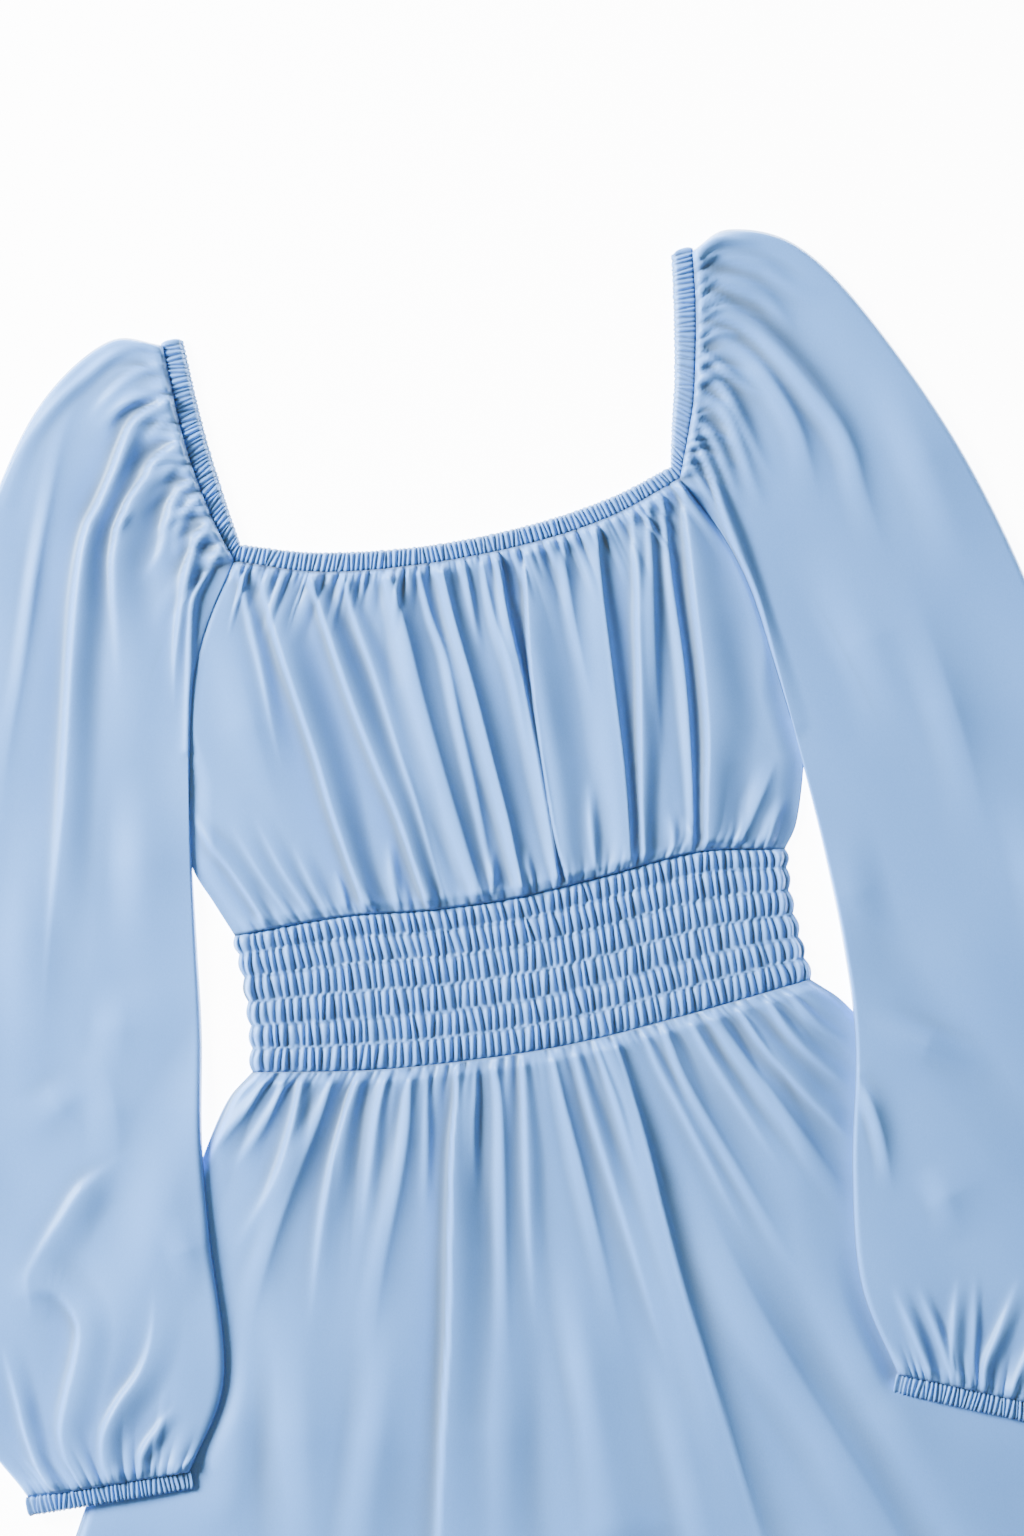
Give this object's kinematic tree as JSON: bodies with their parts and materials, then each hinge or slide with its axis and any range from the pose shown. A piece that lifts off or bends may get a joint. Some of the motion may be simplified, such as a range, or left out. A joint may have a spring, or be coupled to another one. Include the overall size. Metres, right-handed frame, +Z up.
{
  "type": "peasant dress",
  "caption": "Long-sleeved peasant dress laid flat: elastic square neckline, gathered bodice, shirred waistband, flared skirt, bishop sleeves with elastic cuffs.",
  "frame": {"origin": "on the resting surface, under the middle of the waistband", "axes": "+Z up out of the front of the dress, +Y towards the neckline, +X to the right of someone looking down at the front"},
  "size_m": [0.7918, 0.9248, 0.009],
  "materials": {
    "satin": "soft satin crepe, light blue, fine grain",
    "satin_casing": "the same satin, gathered over elastic"
  },
  "bodies": {
    "root": {"bodice_front": "satin", "bodice_back": "satin", "waistband_front": "satin", "waistband_back": "satin", "skirt_front": "satin", "skirt_back": "satin", "sleeve_left": "satin", "sleeve_right": "satin", "neck_casing_front": "satin_casing", "neck_casing_back": "satin_casing", "shoulder_casing_left": "satin_casing", "shoulder_casing_right": "satin_casing", "cuff_left": "satin_casing", "cuff_right": "satin_casing"}
  },
  "joints": []
}
